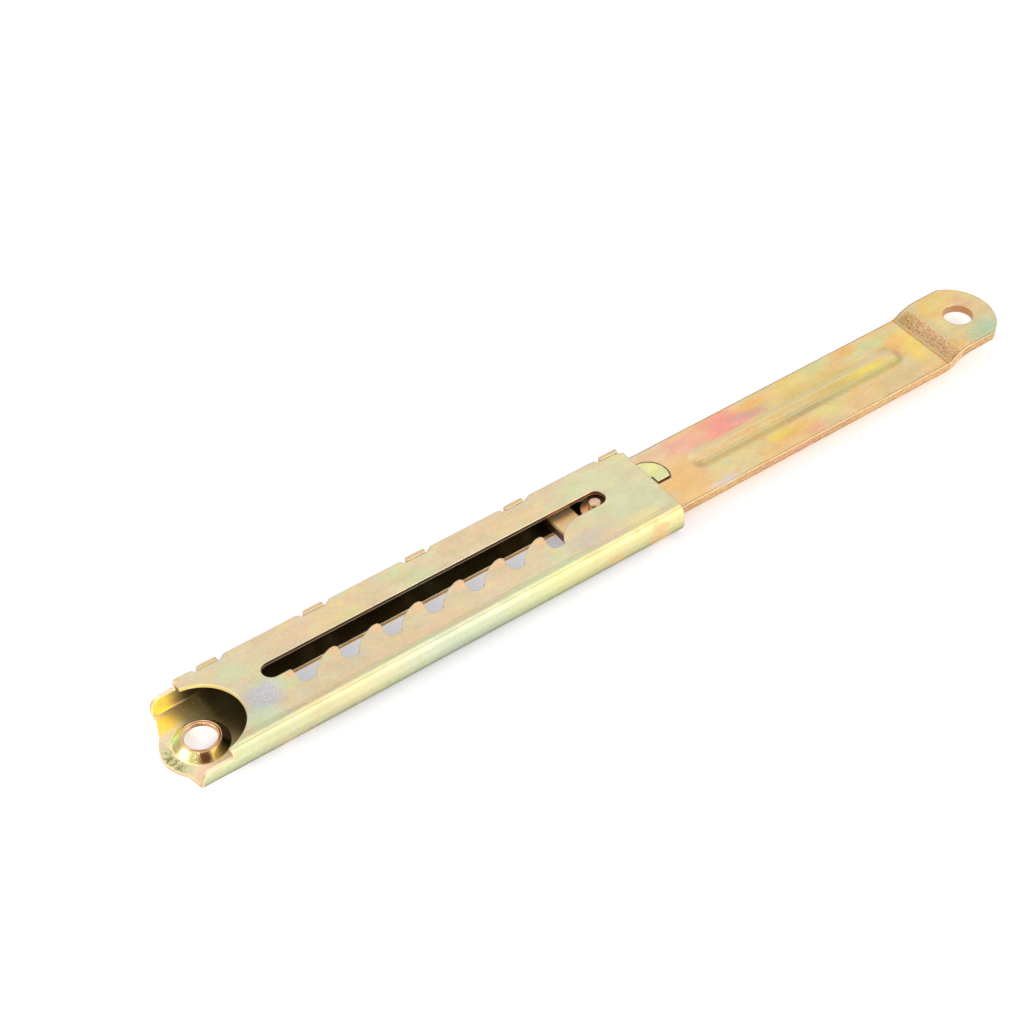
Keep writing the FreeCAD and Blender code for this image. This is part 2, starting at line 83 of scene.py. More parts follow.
class Shader:
    """A small wrapper that makes and links the nodes of one material."""

    def __init__(self, name):
        """Start the material, and keep its surface shader, the place in the frame and the face's normal."""
        self.material = bpy.data.materials.new(name)
        self.material.use_nodes = True
        self.nodes = self.material.node_tree.nodes
        self.links = self.material.node_tree.links
        self.surface = self.nodes["Principled BSDF"]
        coordinates = self.nodes.new("ShaderNodeTexCoord")
        self.place = coordinates.outputs["Object"]
        self.facing = coordinates.outputs["Normal"]

    def put(self, socket, value):
        """Link a node's output into the socket, or set the socket to a plain value."""
        if isinstance(value, bpy.types.NodeSocket):
            self.links.new(value, socket)
        elif isinstance(value, tuple) and len(value) == 3 and socket.type == "RGBA":
            socket.default_value = (*value, 1)
        else:
            socket.default_value = value

    def math(self, operation, a, b=0.0):
        node = self.nodes.new("ShaderNodeMath")
        node.operation = operation
        self.put(node.inputs[0], a)
        self.put(node.inputs[1], b)
        return node.outputs[0]

    def times(self, *factors):
        product = factors[0]
        for factor in factors[1:]:
            product = self.math("MULTIPLY", product, factor)
        return product

    def beyond(self, mask):
        """1 where the mask is 0, and 0 where it is 1."""
        return self.math("SUBTRACT", 1.0, mask)

    def axis(self, vector, name):
        """One of a vector's components, by its letter."""
        node = self.nodes.new("ShaderNodeSeparateXYZ")
        self.put(node.inputs[0], vector)
        return node.outputs[name]

    def at(self, name):
        """The place along one axis, in millimetres."""
        return self.math("DIVIDE", self.axis(self.place, name), MM)

    def scaled(self, factors, offset=(0, 0, 0)):
        """The place in the frame, stretched by a factor along each axis."""
        node = self.nodes.new("ShaderNodeMapping")
        self.put(node.inputs["Vector"], self.place)
        node.inputs["Scale"].default_value = factors
        node.inputs["Location"].default_value = offset
        return node.outputs[0]

    def noise(self, size_mm, detail=3.0, stretch=(1, 1, 1), seed=0.0, roughness=0.5):
        """Noise from 0 to 1, with blobs about size_mm across before they are stretched."""
        node = self.nodes.new("ShaderNodeTexNoise")
        factors = tuple(1 / (size_mm * MM * s) for s in stretch)
        self.put(node.inputs["Vector"], self.scaled(factors, (seed, seed * 0.7, seed * 1.3)))
        node.inputs["Scale"].default_value = 1.0
        node.inputs["Detail"].default_value = detail
        node.inputs["Roughness"].default_value = roughness
        return node.outputs["Fac"]

    def ramp(self, value, low, high):
        """0 at low, 1 at high and smooth between. Low may be the larger of the two."""
        node = self.nodes.new("ShaderNodeMapRange")
        node.interpolation_type = "SMOOTHSTEP"
        self.put(node.inputs["Value"], value)
        node.inputs["From Min"].default_value = low
        node.inputs["From Max"].default_value = high
        return node.outputs[0]

    def band(self, value, low, high, soft):
        """1 between low and high, falling to 0 over the soft distance outside them."""
        return self.times(self.ramp(value, low - soft, low), self.ramp(value, high + soft, high))

    def colours(self, value, stops):
        """A colour ramp through (position, colour) stops."""
        node = self.nodes.new("ShaderNodeValToRGB")
        self.put(node.inputs[0], value)
        elements = node.color_ramp.elements
        while len(elements) < len(stops):
            elements.new(0.5)
        for element, (position, colour) in zip(elements, stops):
            element.position = position
            element.color = (*colour, 1)
        return node.outputs[0]

    def mix(self, factor, low, high, blend="MIX"):
        node = self.nodes.new("ShaderNodeMix")
        node.data_type = "RGBA"
        node.blend_type = blend
        # A mix node has a set of sockets for each kind of value, and these are the colours'
        self.put(node.inputs[0], factor)
        self.put(node.inputs[6], low)
        self.put(node.inputs[7], high)
        return node.outputs[2]

    def patch(self, centre_mm, reach_mm, warp=0.0):
        """A soft-edged patch round a place in the frame: 1 at its centre, 0 beyond its reach."""
        offset = tuple(-c / r for c, r in zip(centre_mm, reach_mm))
        factors = tuple(1 / (r * MM) for r in reach_mm)
        length = self.nodes.new("ShaderNodeVectorMath")
        length.operation = "LENGTH"
        self.put(length.inputs[0], self.scaled(factors, offset))
        return self.ramp(self.math("ADD", length.outputs["Value"], warp), 1.0, 0.25)

    def away_from(self, x_mm, y_mm):
        """The distance in millimetres from an upright line."""
        along = self.math("POWER", self.math("SUBTRACT", self.at("X"), x_mm), 2.0)
        across = self.math("POWER", self.math("SUBTRACT", self.at("Y"), y_mm), 2.0)
        return self.math("SQRT", self.math("ADD", along, across))

    def upright(self):
        """1 on faces that stand upright, 0 on faces that look up or down."""
        return self.ramp(self.math("ABSOLUTE", self.axis(self.facing, "Z")), 0.5, 0.2)

    def bump(self, height, strength, distance_mm, normal=None):
        """A bumped normal, on top of the given normal or the face's own."""
        node = self.nodes.new("ShaderNodeBump")
        node.inputs["Strength"].default_value = strength
        node.inputs["Distance"].default_value = distance_mm * MM
        self.put(node.inputs["Height"], height)
        if normal is not None:
            self.put(node.inputs["Normal"], normal)
        return node.outputs[0]


def srgb(red, green, blue):
    """A display colour, 0 to 255, as linear light."""
    def linear(channel):
        share = channel / 255
        return share / 12.92 if share <= 0.04045 else ((share + 0.055) / 1.055) ** 2.4
    return (linear(red), linear(green), linear(blue))


TAN = srgb(232, 211, 176)
SAND = srgb(224, 204, 168)
SAGE = srgb(214, 222, 176)
STRAW = srgb(238, 222, 158)
MINT = srgb(206, 226, 188)
PEACH = srgb(240, 204, 172)
ROSE = srgb(250, 170, 168)
PINK = srgb(246, 186, 168)
LILAC = srgb(204, 170, 188)
LEMON = srgb(246, 230, 118)
GOLD = srgb(248, 208, 112)
ORANGE = srgb(246, 196, 130)
OLIVE = srgb(176, 168, 112)
COPPER = srgb(226, 164, 124)
RIM_PINK = srgb(240, 186, 152)
GREY = srgb(196, 198, 204)
PALE_GREY = srgb(212, 216, 204)

# The film's metallic share, what a fully smooth place takes off the roughness, and the grain's
# depth in millimetres
METALLIC = 0.82
SMOOTHING = 0.16
RELIEF_DEPTH = 0.035


class Plating(Shader):
    """Yellow-passivated zinc: a drifting iridescent film with soft patches, grain, specks and rubs.

    Each tint and shade works on the colour left by the ones before it, so their order matters.
    """

    def __init__(self, name, base, drift, seed=0.0):
        super().__init__(name)
        broad = self.noise(17, detail=4, stretch=(1.7, 1, 1), seed=seed + 2, roughness=0.55)
        fine = self.noise(4, detail=5, stretch=(1.8, 1, 1), seed=seed + 7, roughness=0.62)
        blend = self.math("ADD", self.times(broad, 0.66), self.times(fine, 0.34))
        self.colour = self.mix(0.75, base, self.colours(blend, drift))
        mottle = self.noise(1.6, detail=5, stretch=(1.5, 1, 1), seed=seed + 13, roughness=0.7)
        self.tint(self.ramp(mottle, 0.52, 0.66), PEACH, 0.4)
        self.tint(self.ramp(mottle, 0.46, 0.34), MINT, 0.4)
        clouds = self.noise(3.2, detail=4, stretch=(1.3, 1, 1), seed=seed + 19, roughness=0.6)
        self.tint(self.ramp(clouds, 0.54, 0.66), PALE_GREY, 0.4)
        self.tint(self.ramp(clouds, 0.46, 0.34), STRAW, 0.4)
        wander = self.noise(7, detail=5, stretch=(1.5, 1, 1), seed=seed + 11, roughness=0.6)
        self.warp = self.times(self.math("SUBTRACT", wander, 0.5), 1.3)
        self.grain = self.noise(0.6, detail=5, stretch=(1.8, 1, 1), seed=seed + 3, roughness=0.75)
        self.seed = seed
        self.rounded = None

    def tint(self, mask, colour, amount=1.0):
        """Replace the colour where the mask is 1."""
        self.colour = self.mix(self.times(mask, amount), self.colour, colour)

    def shade(self, mask, colour, amount=1.0):
        """Multiply by the colour where the mask is 1."""
        self.colour = self.mix(self.times(mask, amount), self.colour, colour, "MULTIPLY")

    def spot(self, where, centre, reach, colour, amount):
        """A patch with a wandering outline, kept within a mask."""
        self.tint(self.times(where, self.patch(centre, reach, self.warp)), colour, amount)

    def patches(self, spots):
        """Soft patches, each given as (centre in mm, reach in mm, colour, amount)."""
        for centre, reach, hue, amount in spots:
            self.tint(self.patch(centre, reach, self.warp), hue, amount)

    def cut_edges(self, colour, amount=0.85):
        """Faces that stand upright are sheared edges, where the film is coppery."""
        streaks = self.noise(0.5, detail=3, stretch=(3, 1, 0.6), seed=self.seed + 21)
        dark = self.mix(1.0, colour, srgb(216, 210, 200), "MULTIPLY")
        self.tint(self.upright(), self.mix(self.ramp(streaks, 0.35, 0.65), dark, colour), amount)

    def round_arrises(self, radius_mm, colour, amount):
        """Turn the light along each sharp edge as a small rounding would, and tint the edge pale: partly
        rubbed wear and partly a painted highlight.
        """
        rounded = self.nodes.new("ShaderNodeBevel")
        rounded.samples = 8
        rounded.inputs["Radius"].default_value = radius_mm * MM
        turn = self.nodes.new("ShaderNodeVectorMath")
        turn.operation = "DOT_PRODUCT"
        self.put(turn.inputs[0], rounded.outputs[0])
        self.put(turn.inputs[1], self.nodes.new("ShaderNodeNewGeometry").outputs["Normal"])
        self.tint(self.ramp(turn.outputs["Value"], 0.99, 0.92), colour, amount)
        self.rounded = rounded.outputs[0]

    def finish(self, metallic=METALLIC, rough=(0.32, 0.46), relief=0.3, rub=None, smooth=None):
        """Add the film's grain, specks, painted glints and scratches, and give the surface its roughness
        and bump.
        """
        grain = self.mix(self.grain, srgb(96, 84, 56), srgb(255, 252, 240))
        self.colour = self.mix(0.65, self.colour, grain, "SOFT_LIGHT")
        specks = self.ramp(self.noise(0.42, detail=2, seed=self.seed + 5), 0.65, 0.76)
        self.tint(specks, srgb(132, 102, 68), 0.3)
        # Painted glints: tiny pale specks of highlight
        glints = self.ramp(self.noise(0.5, detail=2, seed=self.seed + 15), 0.68, 0.78)
        self.tint(glints, srgb(255, 250, 236), 0.35)
        scratch = self.noise(0.7, detail=4, stretch=(26, 0.35, 1), seed=self.seed + 17, roughness=0.6)
        lines = self.ramp(scratch, 0.66, 0.72)
        self.tint(lines, srgb(250, 240, 214), 0.3)
        if rub is not None:
            self.tint(rub, srgb(234, 224, 230), 0.65)
        self.put(self.surface.inputs["Base Color"], self.colour)
        self.put(self.surface.inputs["Metallic"], metallic)
        spread = self.nodes.new("ShaderNodeMapRange")
        self.put(spread.inputs["Value"], self.noise(3, detail=5, stretch=(2, 1, 1), seed=self.seed + 9))
        spread.inputs["From Min"].default_value = 0.3
        spread.inputs["From Max"].default_value = 0.7
        spread.inputs["To Min"].default_value = rough[0]
        spread.inputs["To Max"].default_value = rough[1]
        roughness = spread.outputs[0]
        if smooth is not None:
            roughness = self.math("SUBTRACT", roughness, self.times(smooth, SMOOTHING))
        self.put(self.surface.inputs["Roughness"], roughness)
        pits = self.noise(0.35, detail=3, seed=self.seed + 4)
        height = self.math("ADD", self.grain, self.times(pits, 0.7))
        height = self.math("SUBTRACT", height, self.times(lines, 0.4))
        self.put(self.surface.inputs["Normal"], self.bump(height, relief, RELIEF_DEPTH, self.rounded))
        return self.material


# ---- materials -----------------------------------------------------------------------------------

SHEET_DRIFT = [(0.30, MINT), (0.40, SAGE), (0.47, TAN), (0.53, SAND), (0.58, PEACH), (0.64, STRAW),
               (0.72, SAGE)]
BAR_DRIFT = [(0.30, SAGE), (0.40, STRAW), (0.47, TAN), (0.53, ORANGE), (0.59, PEACH), (0.66, STRAW),
             (0.74, LEMON)]


def make_casing_plating():
    film = Plating("casing_plating", SAND, SHEET_DRIFT)
    along, across, height = film.at("X"), film.at("Y"), film.at("Z")
    film.patches([
        ((17, -3, ROOF), (8, 7, 5), GREY, 0.9),
        ((15, 9, ROOF), (7, 5, 5), MINT, 0.5),
        ((13, -9, ROOF), (8, 5, 5), MINT, 0.7),
        ((36, 10, ROOF), (16, 5, 6), PEACH, 0.35),
        ((63, -9, ROOF), (20, 4, 6), PEACH, 0.45),
        ((90, -8, ROOF), (12, 4, 6), TAN, 0.5),
        ((132, -3, ROOF), (16, 13, 8), MINT, 0.5),
        ((124, 10, ROOF), (12, 6, 6), SAGE, 0.6),
        ((129, -9, ROOF), (8, 4, 6), STRAW, 0.6),
        ((113, -8, ROOF), (9, 5, 6), GREY, 0.3),
        ((98, -11.2, ROOF), (26, 2.4, 4), MINT, 0.6),
        ((52, -11.2, ROOF), (24, 2.2, 4), SAGE, 0.6),
    ])
    # Peach skin beside the tip of each tooth
    for tooth in range(TOOTH_TIPS):
        tip = (FIRST_TOOTH + TOOTH_PITCH * tooth, -0.6, ROOF)
        film.tint(film.patch(tip, (3.0, 2.6, 3), film.warp), srgb(250, 200, 156), 0.7)
    # The fold: pale green at the heel, then cream, mint along the middle and yellow at the mouth,
    # with painted shade that darkens and greys it towards its foot, below the bend's highlight
    fold = film.ramp(across, -10.2, -12.4)
    hues = [(0.10, srgb(222, 230, 184)), (0.28, srgb(246, 240, 188)), (0.48, srgb(214, 234, 208)),
            (0.62, srgb(216, 234, 200)), (0.76, srgb(238, 240, 176)), (0.95, srgb(240, 234, 168))]
    film.tint(fold, film.colours(film.ramp(along, -25, 155), hues), 0.7)
    film.shade(film.times(fold, film.ramp(height, 6.0, 3.6)), srgb(222, 228, 232), 0.9)
    film.shade(film.times(fold, film.ramp(height, 3.9, 1.0)), srgb(146, 146, 124), 0.95)
    warmth = film.times(fold, film.ramp(film.noise(8, seed=31), 0.5, 0.62))
    film.tint(film.times(warmth, film.ramp(along, 100, 124)), srgb(240, 190, 140), 0.6)
    film.tint(film.times(warmth, film.ramp(along, 40, 12)), srgb(236, 204, 160), 0.6)
    # A thin brown line along the bend, and a painted darker reflection where the bend meets the roof
    bend_line = film.times(film.band(across, -12.25, -12.05, 0.14), film.ramp(height, 8.0, 8.3))
    film.shade(bend_line, srgb(208, 170, 120), 0.45)
    roof_edge_shade = film.times(film.band(across, -10.1, -9.9, 0.1), film.ramp(height, 8.6, 8.9))
    film.tint(roof_edge_shade, srgb(196, 176, 116), 0.45)
    # The floor round the eyelet: mottled olive on the outside, and pink, yellow and orange in the
    # corners
    floor = film.times(film.ramp(height, 1.6, 1.3), film.ramp(along, 8.0, 6.0))
    mottle = film.ramp(film.noise(0.8, detail=4, seed=33, roughness=0.7), 0.42, 0.62)
    olive = film.times(floor, film.patch((-9.8, -1.5, SHEET), (5.5, 9, 3), film.warp))
    film.tint(olive, srgb(204, 198, 138), 0.9)
    film.tint(film.times(olive, mottle), srgb(84, 80, 48), 0.9)
    film.spot(floor, (-3, -10.5, SHEET), (8, 5.5, 3), srgb(255, 214, 182), 1.0)
    film.spot(floor, (-4.5, 10.5, SHEET), (6.5, 4.5, 3), srgb(255, 212, 92), 1.0)
    film.spot(floor, (7, -8, SHEET), (4, 4.5, 3), srgb(240, 196, 140), 0.9)
    # The tabbed wall's inner face at the heel is yellow and orange
    tab_face = film.times(film.band(across, 14.1, 14.8, 0.4), film.ramp(along, 5.5, -2.5))
    flame = film.noise(4, detail=3, stretch=(1, 1, 1.4), seed=35)
    flames = [(0.35, srgb(240, 206, 84)), (0.5, srgb(255, 226, 70)), (0.6, srgb(255, 172, 78)),
              (0.72, srgb(240, 214, 130))]
    film.tint(tab_face, film.colours(flame, flames), 0.95)
    # The cone of the eyelet: painted reflections in turn round its outside, green, a near-white
    # highlight, brown and gold, then painted shade on its far side
    cone = film.times(film.ramp(film.away_from(*EYELET), 7.7, 7.4), film.ramp(height, 1.15, 1.3))
    film.tint(cone, srgb(232, 220, 140), 0.9)
    for centre, reach, hue, amount in [
        ((-5.2, 4.0, 2), (4.5, 4.5, 4), srgb(214, 240, 152), 0.95),
        ((-6.3, -1.6, 2), (3.6, 3.6, 4), srgb(255, 252, 180), 1.0),
        ((1.4, -6.1, 2), (3.6, 3.0, 4), srgb(255, 210, 120), 1.0),
        ((-2.3, -5.8, 2.2), (2.9, 2.9, 4), srgb(122, 70, 40), 1.0),
    ]:
        film.tint(film.times(cone, film.patch(centre, reach)), hue, amount)
    film.shade(film.times(cone, film.patch((5.4, -3.0, 2), (6.2, 5.6, 4))), srgb(84, 66, 44), 1.0)
    bore_wall = film.ramp(film.away_from(*EYELET), BORE_RADIUS + 0.15, BORE_RADIUS + 0.05)
    film.tint(bore_wall, srgb(208, 158, 134), 0.9)
    # Inside, painted shade darkens the film, and darkens it more away from the heel
    shaded_inside = film.times(film.ramp(height, 0.9, 1.1), film.ramp(height, 7.95, 7.75),
                        film.ramp(across, -12.5, -12.35), film.ramp(across, 14.5, 14.35),
                        film.beyond(tab_face))
    depth = film.math("ADD", film.times(along, 0.9), film.times(across, 0.35))
    film.shade(film.times(shaded_inside, film.ramp(depth, -1.0, 4.5)), srgb(138, 132, 96), 0.9)
    film.shade(film.times(shaded_inside, film.ramp(depth, 3.0, 9.0)), srgb(186, 180, 160), 0.95)
    # Sheared edges: brown inside the slot, gold round the cutout, and coppery at the ends
    slot_wall = film.times(film.upright(), film.band(across, *SLOT_SIDES, 0.2),
                           film.band(along, *SLOT_ENDS, 0.2))
    film.tint(slot_wall, srgb(150, 100, 62), 0.9)
    film.tint(film.times(slot_wall, film.ramp(height, 1.5, 1.2)), srgb(206, 160, 100), 0.9)
    # Painted shade on the upper part of the slot's far wall, away from the pin's end
    far_slot_shade = film.times(slot_wall, film.ramp(across, 5.5, 6.1), film.ramp(height, 6.0, 7.0),
                        film.ramp(along, 118, 96))
    film.shade(far_slot_shade, srgb(172, 176, 160), 0.9)
    cutout_wall = film.times(film.upright(), film.ramp(film.away_from(*EYELET), 12.2, 12.0),
                             film.ramp(height, 7.7, 7.8))
    film.tint(cutout_wall, srgb(250, 220, 128), 0.95)
    ends = film.ramp(film.math("ABSOLUTE", film.axis(film.facing, "X")), 0.5, 0.8)
    others = film.beyond(film.math("ADD", slot_wall, cutout_wall))
    film.tint(film.times(ends, others), COPPER, 0.8)
    # The heel's low walls have a painted highlight along their top edge, and the tabs' tops are tan
    top_edge = film.beyond(film.upright())
    lip_highlight = film.times(top_edge, film.band(height, 5.9, 6.3, 0.2), film.ramp(along, 14.0, 12.0))
    film.tint(lip_highlight, srgb(255, 228, 192), 0.95)
    tabs = film.times(film.ramp(height, 9.02, 9.06), film.ramp(across, 14.2, 14.25))
    film.tint(tabs, srgb(228, 192, 144), 0.8)
    # A grey, sparkling rub lies on the roof between the cutout and the slot
    rub = film.times(film.patch((18, -3, ROOF), (6, 6, 4), film.warp),
                     film.ramp(film.noise(0.6, detail=3, seed=37), 0.5, 0.62))
    # In the heel the film is made less metallic so that it renders brighter, a painted lift of light;
    # elsewhere it is as bright as metal
    heel_lift = film.math("MAXIMUM", film.math("MAXIMUM", tab_face, lip_highlight),
                     film.math("MAXIMUM", cutout_wall, film.times(floor, 0.75)))
    metallic = film.math("SUBTRACT", METALLIC, film.times(heel_lift, 0.78))
    # The cone is drawn smooth, and the fold is duller where the sheet was stretched
    smooth = film.math("SUBTRACT", cone, film.times(fold, 0.75))
    film.round_arrises(0.42, srgb(255, 240, 206), 0.95)
    return film.finish(metallic=metallic, rub=rub, smooth=smooth)


def make_bar_plating():
    film = Plating("bar_plating", TAN, BAR_DRIFT, seed=40.0)
    along, across, height = film.at("X"), film.at("Y"), film.at("Z")
    film.patches([
        ((149, -3, BAR_TOP), (13, 13, 5), ORANGE, 0.7),
        ((146, 8, BAR_TOP), (8, 6, 5), PEACH, 0.6),
        ((170, 8, BAR_TOP), (18, 6.5, 4), ROSE, 1.0),
        ((158, 8.5, BAR_TOP), (11, 5, 4), PINK, 0.8),
        ((179, 7.6, BAR_TOP), (9, 2.8, 3), LILAC, 0.65),
        ((191, 8, BAR_TOP), (8, 5, 4), ORANGE, 0.5),
        ((181, 9.5, BAR_TOP), (9, 3.2, 4), ORANGE, 0.8),
        ((176, 3.6, BAR_TOP), (8, 1.6, 3), GOLD, 0.6),
        ((185, -6, BAR_TOP), (12, 3.5, 4), ORANGE, 0.7),
        ((190, -9, BAR_TOP), (6, 2.5, 4), PINK, 0.8),
        ((181, -4.6, BAR_TOP), (7, 2.2, 3), LEMON, 0.6),
        ((200, -5.5, BAR_TOP), (8, 3, 4), STRAW, 0.6),
        ((205, -8, BAR_TOP), (8, 3, 4), PEACH, 0.6),
        ((197, 8, BAR_TOP), (13, 6, 4), STRAW, 0.7),
        ((206, 10.5, BAR_TOP), (7, 3, 4), SAGE, 0.6),
        ((222, -7, BAR_TOP), (13, 6, 4), SAND, 0.8),
        ((223, 8.5, BAR_TOP), (10, 4.5, 4), SAGE, 0.8),
        ((217, 10.5, BAR_TOP), (5, 2.5, 4), ORANGE, 0.7),
        ((226, 4.5, BAR_TOP), (5, 3, 3), OLIVE, 0.35),
        ((233, 2, 6.6), (4.5, 12, 4), srgb(252, 218, 122), 0.75),
        ((230, 5, BAR_TOP), (5, 4, 4), srgb(248, 200, 140), 0.8),
        ((207, 3, BAR_TOP), (14, 6, 4), srgb(222, 200, 134), 0.7),
        ((194, 3, BAR_TOP), (14, 6, 4), srgb(226, 198, 136), 0.7),
        ((216, 1.2, 7.2), (9, 2.6, 3), LEMON, 0.7),
        # A painted highlight at the rib's right end
        ((227.6, 1.4, 6.9), (2, 1.8, 2), PINK, 0.6),
        ((254, 4, RAISED_TOP), (5, 5, 4), PINK, 0.4),
        ((249, 9, RAISED_TOP), (7, 4, 4), STRAW, 0.6),
        ((253, -8, RAISED_TOP), (11, 8, 4), srgb(192, 218, 196), 1.0),
        ((246, 6, RAISED_TOP), (6, 6, 4), GOLD, 0.4),
        ((257, -2, RAISED_TOP), (4, 7, 4), TAN, 0.6),
    ])
    # Beyond the mouth the bar is yellower
    film.shade(film.ramp(along, 153, 165), srgb(254, 250, 234))
    # Painted reflections on the rib, by the way its faces lean: the near flank olive and greener
    # towards its end, the far flank pale, and a painted highlight along the crown
    lean = film.axis(film.facing, "Y")
    near_flank_reflection = film.times(film.ramp(lean, -0.04, -0.16), film.band(along, *RIB_ENDS, 2),
                       film.band(across, -3.2, 0.2, 0.6), film.ramp(height, BAR_TOP, 6.5))
    hues = [(0.0, srgb(206, 172, 112)), (0.25, srgb(204, 184, 108)), (0.5, srgb(166, 158, 116)),
            (0.85, srgb(196, 196, 110))]
    film.tint(near_flank_reflection, film.colours(film.ramp(along, 156, 226), hues), 0.5)
    far_flank_reflection = film.times(film.ramp(lean, 0.04, 0.16), film.band(along, *RIB_ENDS, 2),
                           film.band(across, 0.5, 5.0, 0.4), film.ramp(height, BAR_TOP, 6.45))
    film.tint(far_flank_reflection, srgb(255, 240, 192), 0.5)
    crown_highlight = film.times(film.band(across, -0.9, -0.6, 0.25), film.band(along, 157, 226, 3),
                            film.ramp(height, 6.6, 6.75))
    film.tint(crown_highlight, srgb(255, 240, 196), 0.3)
    # The bend up to the raised end was set in coarse jaws, which left brown, speckled skin
    jaws = film.times(film.band(along, 237.0, 240.4, 0.7), film.ramp(across, 13.0, 10.5))
    coarse = film.noise(0.45, detail=3, stretch=(1.3, 1, 1), seed=51, roughness=0.7)
    skin = [(0.34, srgb(134, 78, 56)), (0.45, srgb(216, 148, 108)), (0.55, srgb(234, 180, 128)),
            (0.66, srgb(244, 214, 168))]
    film.tint(jaws, film.colours(coarse, skin), 0.9)
    film.shade(film.times(jaws, film.ramp(across, 3.0, 9.0)), srgb(214, 218, 180), 0.6)
    # A thin darker line across the bar where the bend starts
    film.shade(film.band(along, 236.0, 236.3, 0.3), srgb(208, 160, 116), 0.6)
    sheared = [(0.4, srgb(234, 192, 140)), (0.5, srgb(220, 176, 130)), (0.62, srgb(230, 176, 142))]
    film.cut_edges(film.colours(film.noise(14, detail=2, stretch=(2, 1, 1), seed=53), sheared), 0.9)
    # Painted shade: a dark line just inside each long edge, and along the foot of the sheared side
    near_edge_shade = film.times(film.band(across, -10.45, -10.25, 0.12), film.beyond(film.upright()))
    film.shade(near_edge_shade, srgb(190, 150, 112), 0.5)
    film.shade(film.ramp(across, 12.3, 12.6), srgb(172, 160, 150), 0.8)
    low_foot = film.times(film.ramp(height, 4.3, 4.0), film.ramp(along, 237, 235))
    raised_foot = film.times(film.ramp(height, 7.2, 6.9), film.ramp(along, 241, 243))
    sole_shade = film.times(film.upright(), film.math("MAXIMUM", low_foot, raised_foot))
    film.shade(sole_shade, srgb(196, 160, 132), 0.8)
    # Painted shade darkens the inner end, which lies inside the casing, and the hole's wall is brown
    film.shade(film.ramp(along, 110.6, 110.3), srgb(120, 92, 66), 0.95)
    bore_wall = film.ramp(film.away_from(*ARM_BORE), BORE_RADIUS + 0.07, BORE_RADIUS + 0.03)
    film.tint(bore_wall, srgb(200, 150, 116), 0.9)
    rub = film.times(film.patch((158, -9.6, BAR_TOP), (9, 1.5, 2), film.warp), 0.8)
    film.grain = film.math("ADD", film.grain, film.times(jaws, film.times(coarse, 2.5)))
    film.round_arrises(0.4, srgb(252, 224, 182), 0.8)
    return film.finish(rough=(0.34, 0.5), relief=0.34, rub=rub)


def make_pawl_plating():
    drift = [(0.4, srgb(240, 236, 160)), (0.5, SAGE), (0.62, STRAW)]
    film = Plating("pawl_plating", srgb(226, 226, 160), drift, seed=70.0)
    film.cut_edges(srgb(150, 110, 74), 0.9)
    # The head is pale, and the lever behind it, under the roof, is orange-brown: partly its own colour
    # and partly painted shade
    lever_tint_and_shade = film.ramp(film.at("X"), 139.0, 136.0)
    film.tint(lever_tint_and_shade, srgb(226, 160, 108), 0.8)
    film.round_arrises(0.3, srgb(255, 244, 200), 0.8)
    return film.finish(rough=(0.3, 0.42))


def make_simple_plating(name, base, drift, seed, rough, groove_shade=None):
    """A small piece's plating, with painted shade in a ring between two radii from the eyelet's axis if
    asked.
    """
    film = Plating(name, base, drift, seed=seed)
    if groove_shade is not None:
        film.shade(film.band(film.away_from(*EYELET), *groove_shade, 0.16), srgb(150, 96, 70), 0.9)
    return film.finish(rough=rough)


MATERIALS = {
    "casing": make_casing_plating(),
    "arm": make_bar_plating(),
    "pawl": make_pawl_plating(),
}
PIN_DRIFT = [(0.4, srgb(214, 166, 136)), (0.5, srgb(240, 204, 178)), (0.62, TAN)]
SPRING_DRIFT = [(0.4, srgb(86, 90, 106)), (0.6, srgb(142, 140, 136))]
RIM_DRIFT = [(0.4, srgb(228, 156, 120)), (0.5, RIM_PINK), (0.62, srgb(250, 214, 184))]
pin_steel = make_simple_plating("pin_plating", srgb(230, 192, 164), PIN_DRIFT, 80.0, (0.26, 0.36))
spring_steel = make_simple_plating("spring_steel", srgb(112, 112, 120), SPRING_DRIFT, 90.0, (0.3, 0.4))
rim_copper = make_simple_plating("rim_copper", RIM_PINK, RIM_DRIFT, 95.0, (0.26, 0.4), groove_shade=(4.72, 4.84))

for node, plating in MATERIALS.items():
    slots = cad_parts[node].data.materials
    slots.clear()
    slots.append(plating)

# ---- finer pieces --------------------------------------------------------------------------------


def add_mesh(name, verts, faces, smooth):
    """A new object in the scene, with its mesh in metres."""
    mesh = bpy.data.meshes.new(name)
    mesh.from_pydata(verts, [], faces)
    for polygon in mesh.polygons:
        polygon.use_smooth = smooth
    piece = bpy.data.objects.new(name, mesh)
    bpy.context.scene.collection.objects.link(piece)
    return piece


def on_circle(centre, angle, radius, height):
    """A point in metres on a circle round an upright line, from millimetres."""
    x = centre[0] + radius * math.cos(angle)
    y = centre[1] + radius * math.sin(angle)
    return (x * MM, y * MM, height * MM)


def turned(name, profile, centre, sides, jitter):
    """A closed turned ring: the (radius, height) profile swept round, its radii moved by jitter."""
    verts, faces = [], []
    count = len(profile)
    for side in range(sides):
        angle = 2 * math.pi * side / sides
        for index, (radius, height) in enumerate(profile):
            verts.append(on_circle(centre, angle, radius + jitter(side, index), height))
    for side in range(sides):
        here, there = side * count, (side + 1) % sides * count
        for index in range(count):
            after = (index + 1) % count
            faces.append((here + index, there + index, there + after, here + after))
    return add_mesh(name, verts, faces, smooth=True)


